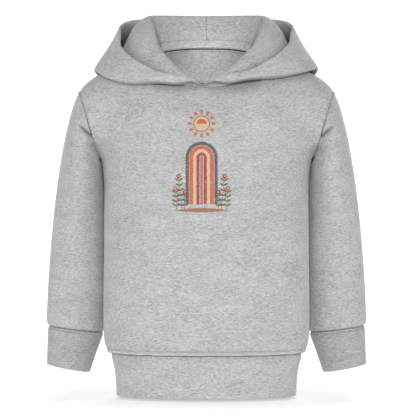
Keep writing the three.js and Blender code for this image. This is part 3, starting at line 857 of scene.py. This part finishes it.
def printed_design(paint, cloth, mottle):
    """Lays the design over the cloth's colour; gives the new colour and how much ink covers it."""
    place = paint.place()
    x, y, z = paint.parts(place)
    wobble = (paint.noise(place, 260.0) - 0.5) * 1.1
    x = (x * 1000 - DESIGN_X) + wobble
    z = (z * 1000 - DESIGN_Z) + wobble

    def inside(distance, soft=INK_EDGE):
        return 1 - paint.step(distance, -soft, soft)

    def length(a, b):
        return paint.math("SQRT", a * a + b * b)

    def larger(a, b):
        return paint.math("MAXIMUM", a, b)

    def smaller(a, b):
        return paint.math("MINIMUM", a, b)

    sun = length(x, z - SUN_Z)
    turn = paint.math("ARCTAN2", z - SUN_Z, x)
    between_rays = paint.math("COSINE", turn * RAY_COUNT) * -1.0 + 0.3
    layers = [(inside(larger(abs(sun - RAY_MIDDLE) - RAY_HALF, between_rays), 0.3), INK_ORANGE)]
    layers += [(inside(sun - radius), ink) for radius, ink in SUN_DISCS]
    layers.append((inside(larger(sun - SUN_HALF_DISC, z * -1 + SUN_Z)), INK_ORANGE))
    arch = length(x, larger(z - ARCH_Z, 0.0))
    foot = ARCH_FOOT_Z - z
    for low, high, ink in ARCH_RINGS:
        layers.append((inside(larger(abs(arch - (low + high) / 2) - (high - low) / 2, foot)), ink))
    aside = abs(x)
    up = z - GROUND_Z
    for stem_x, tall, lean, leaf_pairs, flower in SPRIGS:
        stem = abs(aside - stem_x - up * lean) - STEM_HALF
        green = larger(stem, larger(up * -1.0, up - tall))
        for k in range(leaf_pairs):
            root = tall * (k + 0.9) / (leaf_pairs + 0.6)
            for way in (-1, 1):
                a = (aside - (stem_x + lean * root)) * way - LEAF_ASIDE
                b = up - (root + LEAF_UP)
                leaf = length(a * LEAF_COSINE + b * LEAF_SINE,
                              (b * LEAF_COSINE - a * LEAF_SINE) * LEAF_SLIMNESS)
                green = smaller(green, leaf - LEAF_LENGTH)
        layers.append((inside(green, 0.3), INK_OLIVE))
        bloom = length(aside - (stem_x + lean * tall), up - tall - 1.0)
        layers.append((inside(bloom - BLOOM_RADIUS), flower))
        layers.append((inside(bloom - BLOOM_HEART), INK_CREAM))
    ground = abs(up) - (GROUND_HALF - aside * aside * GROUND_TAPER)
    layers.append((inside(larger(ground, aside - GROUND_REACH)), INK_BROWN))

    worn = paint.step(paint.noise(place, 900.0, 2.0, 0.6) + mottle * 0.12, 0.30, 0.42)
    held = paint.field("outside") * worn * INK_STRENGTH
    colour = cloth
    cover = 0.0
    for mask, ink in layers:
        strength = mask * held
        colour = paint.blend(strength, colour, ink)
        cover = larger(cover, strength)
    tone = 1 + mottle * 0.16
    mottled = paint.blend(1.0, colour, paint.vector(tone, tone, tone), "MULTIPLY")
    return paint.blend(cover, colour, mottled), cover


def thread_material():
    paint = Paint("sewing_thread")
    twist = paint.noise(paint.place(), 1800.0)
    colour = paint.blend(twist, linear(150, 150, 152), linear(196, 196, 198))
    return paint.complete((0.3, 0.0002, twist), Base_Color=colour, Roughness=0.6)


def tape_material():
    paint = Paint("neck_tape_twill")
    colour, mottle, across, along = knit_colour(paint, TAPE_TONE)
    twill = paint.math("SINE", (across + along) * (2 * math.pi / TWILL_WIDTH))
    return paint.complete((0.4, 0.0003, twill * 0.5 + mottle * 0.2), Base_Color=colour, Roughness=0.85,
                          Sheen_Weight=0.1)


def floor_material():
    """Pale light table, duller towards the camera and far aside, with a painted shadow close round the hem.
    """
    paint = Paint("studio_floor")
    place = paint.place()
    x, y, _ = paint.parts(place)
    lit = paint.step(y, *TABLE_FRONT) * (1 - paint.step(abs(x), *TABLE_SIDE))
    # painted contact shadow: the glow is dimmed in an oval round where the hem stands
    near = ((x / CONTACT_HALF_WIDTH) ** 2 + ((y - CONTACT_Y) / CONTACT_HALF_DEPTH) ** 2) ** 0.5
    lit = lit * (1 - CONTACT_SHADE * (1 - paint.step(near, *CONTACT_FADE)))
    colour = paint.blend(paint.noise(place, 40.0), (0.49, 0.49, 0.49, 1), (0.51, 0.51, 0.51, 1))
    glow = paint.blend(lit, (0.3, 0.3, 0.3, 1), (1, 1, 1, 1))
    return paint.complete(Base_Color=colour, Roughness=0.9, Emission_Color=glow,
                          Emission_Strength=LIGHT_TABLE)


body_cloth = cloth_material("heather_sweatshirt_cloth")
printed_cloth = cloth_material("heather_cloth_with_print", design=True)
cuff_cloth = cloth_material("heather_cuff_cloth", CUFF_TONE)
hood_lining_cloth = cloth_material("heather_hood_lining", LINING_TONE)
tape_cloth = tape_material()
thread = thread_material()


# Panels

PANEL_COLUMNS = 150
PANEL_ROWS_LOWER = 92
PANEL_ROWS_UPPER = 76
ARM_COLUMNS = 160
SLEEVE_ROWS = 150
CUFF_ROWS = 44
HOOD_ROWS = 132
BAND_COLUMNS = 300

# Relief in millimetres: how deep seams and stitch rows sink, how far the strip over the waistband's
# seam puffs, and how the cloth gathers at seams and sags between them
SEAM_DIP = 0.9
SEAM_DIP_WIDTH = 1.7
HEM_STITCH = 7.2
HEM_GROOVE = 0.8
HEM_PUFF = 1.3
HEM_GATHER = 0.55
HEM_DRAPE = 0.35
NECK_STITCH = 4.6
NECK_STITCH_REACH = 46.0
NECK_GROOVE = 0.6
BODY_SAG = 0.8
BAND_GATHER = 0.4
BAND_SAG = 0.5
BAND_CRINKLE = 0.25
CUFF_LINE = 3.4
CUFF_LINE_WIDTH = 0.9
CUFF_LINE_DEPTH = 0.5
CUFF_PUFF = 0.35
SLEEVE_GATHER = 0.5
SLEEVE_DRAPE = 0.3
CUFF_GATHER = 0.25
TAPE_STITCH = 1.2

# Painted light and shade: how much darker or lighter the cloth is painted in a seam's groove, on the
# strip (lighter), in the rows of stitches, on the second line of the cuff and at the tape
SEAM_PAINTED_SHADE = 0.4
SIDE_SEAM_PAINTED_SHADE = 0.25
STRIP_PAINTED_HIGHLIGHT = 0.12
HEM_STITCH_PAINTED_SHADE = 0.16
NECK_STITCH_PAINTED_SHADE = 0.22
CUFF_LINE_PAINTED_SHADE = 0.3
TAPE_EDGE_PAINTED_SHADOW = 0.2
TICK_PAINTED_SHADE = 0.3
DARKEST_FOLD = 0.7

pucker_hem = wave(24, 11)
pucker_cuff = wave(13, 12)
soft_band = wave(12, 15)
soft_body = wave(3, 13)
soft_height = wave(4, 14)


def seam_dip(distance, depth=SEAM_DIP):
    return -depth * line_at(distance, 0, SEAM_DIP_WIDTH)


def seam_shade(distance, tone=SEAM_PAINTED_SHADE):
    """Painted shade: the groove of a seam is painted darker."""
    return 1 - tone * line_at(distance, 0, 1.0)


def near_neck(grid, inner_share):
    """1 along the part of the neck seam that is stitched, fading out towards its ends."""
    return 1 - smooth(np.abs(grid[..., 0]), inner_share * NECK_STITCH_REACH, NECK_STITCH_REACH)


def hood_path_at(rows):
    """Place on the hood's path, from 0 to 6, of each grid line."""
    return np.interp(np.arange(rows), [0, 3, rows - 4, rows - 1], [0, 0.02, 5.98, 6])[:, None]


def body_shade(side):
    def shade(grid, normals, along, across):
        # painted highlight on the strip over the waistband's seam, painted shade in the rows of stitches and
        # in the grooves of the seams
        strip = STRIP_PAINTED_HIGHLIGHT * span(along, (1.4, 2.8), (HEM_STITCH - 1.4, HEM_STITCH - 0.2))
        sewn = HEM_STITCH_PAINTED_SHADE * line_at(along, HEM_STITCH, 0.8)
        if side < 0:
            sewn += NECK_STITCH_PAINTED_SHADE * near_neck(grid, 0.5) * line_at(along[-1] - along, NECK_STITCH, 0.9)
        seams = seam_shade(along) * seam_shade(to_sides(across), SIDE_SEAM_PAINTED_SHADE)
        return seams * (1 + strip) * (1 - sewn)
    return shade


def sleeve_shade(hand):
    def shade(grid, normals, along, across):
        turn = across / across[:, -1:]
        away = smooth(np.abs(turn - 0.5), 0.03, 0.1)
        # painted shade of the fold from the armhole, and in the grooves of the armhole's and cuff's seams
        folds = np.minimum(relief_of(SLEEVE_FOLD_LINES, grid, normals, hand), DARKEST_FOLD) * away
        return seam_shade(along, SIDE_SEAM_PAINTED_SHADE) * seam_shade(along[-1] - along) * (1 - folds)
    return shade


def cuff_shade(grid, normals, along, across):
    # painted shade in the cuff's seam and along a second line on its front
    front = smooth(-normals[..., 1], 0.2, 0.6) * smooth(np.abs(grid[..., 0]), 146, 160)
    return seam_shade(along) * (1 - CUFF_LINE_PAINTED_SHADE * line_at(along, CUFF_LINE, CUFF_LINE_WIDTH) * front)


def band_shade(grid, normals, along, across):
    # painted shade in the groove of the waistband's seam
    return seam_shade(along[-1] - along)


def underside_shade(grid, normals, along, across):
    """Painted shade on the hood's outer layer where it faces down as it hangs over the shoulders and the
    back.
    """
    under = smooth(-normals[..., 2], 0.5, 0.95) * span(hood_path_at(len(grid)), UNDERSIDE_RISE, UNDERSIDE_END)
    return 1 - UNDERSIDE_SHADE * under


def fold_shade(hand):
    """Painted shade deep in the hood's fold, with painted shadow where the front laps over the back and by
    the tape.
    """
    def shade(grid, normals, along, across):
        path = hood_path_at(len(grid))
        back = across[:, -1:] - across
        fold = FOLD_SHADE * span(path, FOLD_RISE, FOLD_END)
        lap_shadow = relief_of(FOLD_LINES, grid, normals, hand) * (path < 1.4)
        # painted shadow just above the tape's top edge, and painted shade in the centre seam just above the
        # tape
        tape_edge_shadow = TAPE_EDGE_PAINTED_SHADOW * line_at(path, TAPE_TOP + 0.03, 0.035) * (normals[..., 1] > 0.5)
        seam_tick_shade = TICK_PAINTED_SHADE * line_at(back, 0, 0.8) * span(path, TICK_RISE, TICK_END)
        return (1 - fold) * (1 - lap_shadow) * (1 - tape_edge_shadow) * (1 - seam_tick_shade)
    return shade


def body_relief(side):
    def relief(grid, normals, along, across):
        turn = 0.25 + side * across / across[:, -1:] / 2
        low = to_sides(across)
        top = along[-1] - along
        dip = seam_dip(low) + seam_dip(top) + seam_dip(along, 1.3)
        strip = HEM_PUFF * span(along, (0.6, 3.6), (HEM_STITCH - 2.6, HEM_STITCH))
        groove = -HEM_GROOVE * line_at(along, HEM_STITCH, 1.1)
        if side < 0:
            groove -= NECK_GROOVE * near_neck(grid, 0.6) * line_at(top, NECK_STITCH, 1.0)
        gather = pucker_hem(turn) * (HEM_GATHER * line_at(along, 9, 9) + HEM_DRAPE * line_at(along, 0, 30))
        sag = BODY_SAG * soft_body(turn + 0.13 * side) * soft_height(along / 420 + 0.2)
        away = smooth(low, 0, 30) * smooth(top, 0, 45) * smooth(along, 8, 50)
        return (dip + strip + groove + gather * smooth(low, 0, 8) + sag * away
                + relief_of(BODY_CREASES, grid, normals, 0))
    return relief


def sleeve_relief(hand):
    def relief(grid, normals, along, across):
        turn = across / across[:, -1:]
        end = along[-1] - along
        inside = np.abs(turn - 0.5)
        line = CUFF_LINE_DEPTH * line_at(end, CUFF_LINE, CUFF_LINE_WIDTH) * smooth(inside, 0.15, 0.4)
        waves = SLEEVE_GATHER * line_at(end, 8, 8) + SLEEVE_DRAPE * line_at(end, 0, 25)
        puff = CUFF_PUFF * line_at(end, 4, 2.5)
        folds = relief_of(SLEEVE_CREASES, grid, normals, hand)
        return (seam_dip(along, 0.7) + seam_dip(end, 1.2) - line + pucker_cuff(turn + 0.2 * hand) * waves
                + puff + folds * smooth(inside, 0.06, 0.16) * smooth(along, 0.5, 9))
    return relief


def cuff_relief(grid, normals, along, across):
    turn = across / across[:, -1:]
    return seam_dip(along, 1.2) + CUFF_GATHER * pucker_cuff(turn + 0.4) * line_at(along, 0, 9)


def band_relief(grid, normals, along, across):
    turn = across / across[:, -1:]
    top = along[-1] - along
    sag = (BAND_SAG * soft_band(turn) * smooth(top, 4, 26)
           + BAND_CRINKLE * pucker_hem(turn + 0.37) * smooth(top, 10, 30))
    return seam_dip(top, 1.5) + BAND_GATHER * pucker_hem(turn) * line_at(top, 0, 10) + sag


def hood_relief(hand, seam):
    def relief(grid, normals, along, across):
        rolled = smooth(hood_path_at(len(grid)), *ROLL_RISE)
        return (seam_dip(across[:, -1:] - across, seam) + seam_dip(along, 0.4)
                + relief_of(LOBE_CREASES, grid, normals, hand) * (1 - rolled)
                + relief_of(ROLL_CREASES, grid, normals, hand) * rolled)
    return relief


levels = np.concatenate([np.linspace(BAND_TOP, -333, 22)[:-1],
                         np.linspace(-333, ARMPIT_Z, PANEL_ROWS_LOWER - 20)])
pieces = {}
grids = {}
for side, name in ((-1, "front"), (1, "back")):
    grids[name] = body_grid(side, PANEL_COLUMNS, levels, PANEL_ROWS_UPPER)
    cloth = printed_cloth if side < 0 else body_cloth
    pieces[name] = shell(name + "_panel", grids[name], 0, -BODY_CLOTH, -side, cloth,
                         relief=body_relief(side), shade=body_shade(side), uv_shift=(0.3 * (side > 0), 0))

grids["waistband"] = band_grid(np.linspace(BAND_HEM, BAND_TOP, 26), BAND_COLUMNS)
pieces["waistband"] = shell("waistband_strip", grids["waistband"], 0, -DOUBLE_CLOTH, -1, body_cloth,
                            closed=True, relief=band_relief, shade=band_shade, uv_shift=(1.1, 0.5))

hood_angles = np.concatenate([np.linspace(0, 20, 16)[:-1], np.linspace(20, 110, 48)[:-1],
                              np.linspace(110, 180, 34)])
hood_path = np.linspace(0, 6, HOOD_ROWS + 1)
half_gap = HOOD_LAYER_GAP / 2
for hand, where in ((-1, "right"), (1, "left")):
    sleeve = arm_grid(hand, 0, CUFF_SEAM, SLEEVE_ROWS, ARM_COLUMNS)
    sleeve = rest_on_body(sleeve, REST_GAP, lambda share: 1.0, True)
    grids["sleeve_" + where] = sleeve
    pieces["sleeve_" + where] = shell("sleeve_tube_" + where, sleeve, 0, -BODY_CLOTH, hand, body_cloth,
                                      closed=True, relief=sleeve_relief(hand), shade=sleeve_shade(hand),
                                      uv_shift=(1.7 + 0.4 * hand, 0))
    cuff = arm_grid(hand, CUFF_SEAM, CUFF_EDGE, CUFF_ROWS, ARM_COLUMNS)
    grids["cuff_" + where] = cuff
    pieces["cuff_" + where] = shell("cuff_tube_" + where, cuff, 0, -DOUBLE_CLOTH, hand, cuff_cloth,
                                    closed=True, relief=cuff_relief, shade=cuff_shade,
                                    uv_shift=(2.6 + 0.3 * hand, 0))
    hood = hood_grid(hand, hood_angles, hood_path)
    hood = rest_on_body(hood, HOOD_CLOTH + half_gap + HOOD_REST_GAP,
                        lambda share: float(smooth(share, FOLD_FROM, FOLD_TO)), False)
    grids["hood_" + where] = hood
    for layer, reach, cloth, seam, shade in (("outer", 1, body_cloth, 0.4, underside_shade),
                                             ("lining", -1, hood_lining_cloth, 0.12, fold_shade(hand))):
        node = f"hood_{layer}_{where}"
        pieces[node] = shell(node + "_shell", hood, reach * (half_gap + HOOD_CLOTH), reach * half_gap,
                             hand, cloth, halved=True, joined_rim=True, relief=hood_relief(hand, seam),
                             uv_shift=(3.4 + 0.3 * hand, 0.7 * (reach > 0)), shade=shade)

tape_angles = np.linspace(TAPE_FROM_ANGLE, 180, 40)
tape_path = np.linspace(0.02, TAPE_TOP, 9)
tape_left, tape_right = (hood_grid(hand, tape_angles, tape_path) for hand in (1, -1))
grids["neck_tape"] = np.concatenate([tape_left, tape_right[:, -2::-1]], 1)
tape_face = -half_gap - HOOD_CLOTH - 0.25
pieces["neck_tape"] = shell("neck_tape_strip", grids["neck_tape"], tape_face - TAPE_CLOTH, tape_face, 1,
                            tape_cloth, uv_shift=(5.0, 0))


# Stitching, laid along paths on the cloth by a tree of geometry nodes

def stitch_tree():
    """Lays short rounded stitches end to end along a curve."""
    tree = bpy.data.node_groups.new("lay_stitches", "GeometryNodeTree")
    face = tree.interface
    face.new_socket("Path", in_out="INPUT", socket_type="NodeSocketGeometry")
    sizes = {}
    for label, value in (("Pitch", 2.6 * MM), ("Length", 2.0 * MM), ("Thread", 0.5 * MM)):
        socket = face.new_socket(label, in_out="INPUT", socket_type="NodeSocketFloat")
        socket.default_value = value
        sizes[label] = socket.identifier
    socket = face.new_socket("Material", in_out="INPUT", socket_type="NodeSocketMaterial")
    sizes["Material"] = socket.identifier
    face.new_socket("Stitches", in_out="OUTPUT", socket_type="NodeSocketGeometry")
    new = tree.nodes.new
    link = tree.links.new
    given = new("NodeGroupInput")
    out = new("NodeGroupOutput")
    to_curve = new("GeometryNodeMeshToCurve")
    to_points = new("GeometryNodeCurveToPoints")
    to_points.mode = "LENGTH"
    stitch = new("GeometryNodeMeshUVSphere")
    stitch.inputs["Segments"].default_value = 6
    stitch.inputs["Rings"].default_value = 4
    stitch.inputs["Radius"].default_value = 0.5
    scale = new("ShaderNodeCombineXYZ")
    lay = new("GeometryNodeInstanceOnPoints")
    realize = new("GeometryNodeRealizeInstances")
    paint = new("GeometryNodeSetMaterial")
    link(given.outputs["Path"], to_curve.inputs[0])
    link(to_curve.outputs[0], to_points.inputs["Curve"])
    link(given.outputs["Pitch"], to_points.inputs["Length"])
    link(to_points.outputs["Points"], lay.inputs["Points"])
    link(to_points.outputs["Rotation"], lay.inputs["Rotation"])
    link(stitch.outputs["Mesh"], lay.inputs["Instance"])
    link(given.outputs["Thread"], scale.inputs["X"])
    link(given.outputs["Thread"], scale.inputs["Y"])
    link(given.outputs["Length"], scale.inputs["Z"])
    link(scale.outputs[0], lay.inputs["Scale"])
    link(lay.outputs[0], realize.inputs[0])
    link(realize.outputs[0], paint.inputs["Geometry"])
    link(given.outputs["Material"], paint.inputs["Material"])
    link(paint.outputs[0], out.inputs[0])
    return tree, sizes


STITCH_TREE, STITCH_INPUTS = stitch_tree()


def sew(name, paths, pitch, length, thickness):
    """One mesh of stitches along several paths, each a list of points in millimetres."""
    points, edges = [], []
    for path in paths:
        first = len(points)
        points += [tuple(p * MM) for p in path]
        edges += [(first + i, first + i + 1) for i in range(len(path) - 1)]
    mesh = bpy.data.meshes.new(name + "_path")
    mesh.from_pydata(points, edges, [])
    guide = add_object(name + "_path", mesh)
    layer = guide.modifiers.new("stitches", "NODES")
    layer.node_group = STITCH_TREE
    for label, value in (("Pitch", pitch * MM), ("Length", length * MM), ("Thread", thickness * MM),
                         ("Material", thread)):
        layer[STITCH_INPUTS[label]] = value
    ready = guide.evaluated_get(bpy.context.evaluated_depsgraph_get())
    sewn = bpy.data.meshes.new_from_object(ready)
    sewn.name = name
    guide.modifiers.clear()
    bpy.data.objects.remove(guide)
    sewn.polygons.foreach_set("use_smooth", np.ones(len(sewn.polygons), bool))
    return add_object(name, sewn)


def path_on(grid, turn, place, lift):
    """Path across a grid at a distance from its first row, lifted off the cloth."""
    normals = grid_normals(grid, turn)
    along, _ = run_lengths(grid)
    path = []
    for j in range(grid.shape[1]):
        point = [np.interp(place, along[:, j], grid[:, j, k]) for k in range(3)]
        facing = [np.interp(place, along[:, j], normals[:, j, k]) for k in range(3)]
        path.append(np.array(point) + np.array(facing) * lift)
    return np.array(path)


hem_paths = [path_on(grids["front"], 1, HEM_STITCH, -0.35), path_on(grids["back"], -1, HEM_STITCH, -0.35)]
stitched = slice(PANEL_COLUMNS // 4, 3 * PANEL_COLUMNS // 4 + 1)
neck_paths = [path_on(grids[name][::-1], -1, NECK_STITCH, lift)[stitched]
              for name, lift in (("front", -0.3), ("back", 0.1))]
tape_end = float(run_lengths(grids["neck_tape"])[0][-1].min())
tape_paths = [path_on(grids["neck_tape"], -1, place, -tape_face + TAPE_CLOTH - 0.05)
              for place in (TAPE_STITCH, tape_end - TAPE_STITCH)]
stitching = {
    "hem_topstitch": sew("hem_topstitch", hem_paths, 2.8, 2.3, 0.75),
    "neck_topstitch": sew("neck_topstitch", neck_paths, 2.8, 2.3, 0.65),
    "tape_stitching": sew("tape_stitching", tape_paths, 2.4, 1.8, 0.4),
}


# Declarations

for node, piece in pieces.items():
    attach(piece, "root")
    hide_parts(node)
for name, piece in stitching.items():
    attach(piece, "root")


# Stage, light and camera

STAGE_FLAT = 3000
STAGE_BEND = 900
STAGE_TOP = 4000
STAGE_SIDES = 96


def studio_floor():
    """Round floor that curves up into a wall on all sides."""
    profile = [(r, FLOOR_Z) for r in np.linspace(0, STAGE_FLAT, 8)[1:]]
    for k in range(1, 13):
        angle = math.pi / 2 * k / 12
        profile.append((STAGE_FLAT + STAGE_BEND * math.sin(angle),
                        FLOOR_Z + STAGE_BEND * (1 - math.cos(angle))))
    profile.append((STAGE_FLAT + STAGE_BEND, STAGE_TOP))
    points = [(0, 0, FLOOR_Z * MM)]
    for r, z in profile:
        points += [(r * math.cos(a) * MM, r * math.sin(a) * MM, z * MM)
                   for a in np.arange(STAGE_SIDES) * 2 * math.pi / STAGE_SIDES]
    faces = []
    for j in range(STAGE_SIDES):
        after = (j + 1) % STAGE_SIDES
        faces.append((0, 1 + j, 1 + after))
        for k in range(len(profile) - 1):
            low, high = 1 + k * STAGE_SIDES, 1 + (k + 1) * STAGE_SIDES
            faces.append((low + j, high + j, high + after, low + after))
    mesh = bpy.data.meshes.new("studio_floor")
    mesh.from_pydata(points, [], faces)
    mesh.polygons.foreach_set("use_smooth", np.ones(len(mesh.polygons), bool))
    mesh.materials.append(floor_material())
    return add_object("studio_floor", mesh)


def softbox(name, place, aim, size, power, spread=180):
    """Area light: its places and size in metres, its power in watts and its spread in degrees."""
    light = bpy.data.lights.new(name, "AREA")
    light.shape = "RECTANGLE"
    light.size, light.size_y = size
    light.energy = power
    light.spread = math.radians(spread)
    lamp = add_object(name, light)
    lamp.location = place
    lamp.rotation_euler = (Vector(aim) - Vector(place)).to_track_quat("-Z", "Y").to_euler()


studio_floor()
GARMENT_MIDDLE = (0, 0, -0.18)
softbox("key_softbox", (0.0, -3.4, 0.3), GARMENT_MIDDLE, (0.5, 0.4), 26, 120)
softbox("left_softbox", (2.2, -1.2, 0.15), GARMENT_MIDDLE, (0.9, 1.2), 9)
softbox("right_softbox", (-2.2, -1.2, 0.15), GARMENT_MIDDLE, (0.9, 1.2), 9)
softbox("top_softbox", (-0.2, -1.9, 1.9), GARMENT_MIDDLE, (1.6, 1.2), 14)
softbox("neck_light", (0.0, -0.1, 0.06), (0.0, 0.068, -0.019), (0.05, 0.04), 0.011, 36)
softbox("back_softbox", (0.6, 2.6, 0.9), GARMENT_MIDDLE, (1.4, 1.2), 24)
softbox("backdrop_light", (0, 2.0, 1.9), (0, 3.6, 0.2), (2.6, 0.8), 30)

world = bpy.data.worlds.new("studio")
world.use_nodes = True
background = world.node_tree.nodes["Background"]
background.inputs["Color"].default_value = (1, 1, 1, 1)
background.inputs["Strength"].default_value = 0.1
bpy.context.scene.world = world
bpy.context.scene.view_settings.view_transform = "Standard"

camera_data = bpy.data.cameras.new("camera")
camera_data.sensor_width = SENSOR_WIDTH
camera_data.lens = SENSOR_WIDTH * CAMERA_DISTANCE / FRAME_WIDTH
camera_data.clip_end = 50
camera = add_object("camera", camera_data)
camera.location = (CAMERA_X * MM, -CAMERA_DISTANCE * MM, CAMERA_Z * MM)
camera.rotation_euler = (math.pi / 2, 0, 0)
bpy.context.scene.camera = camera
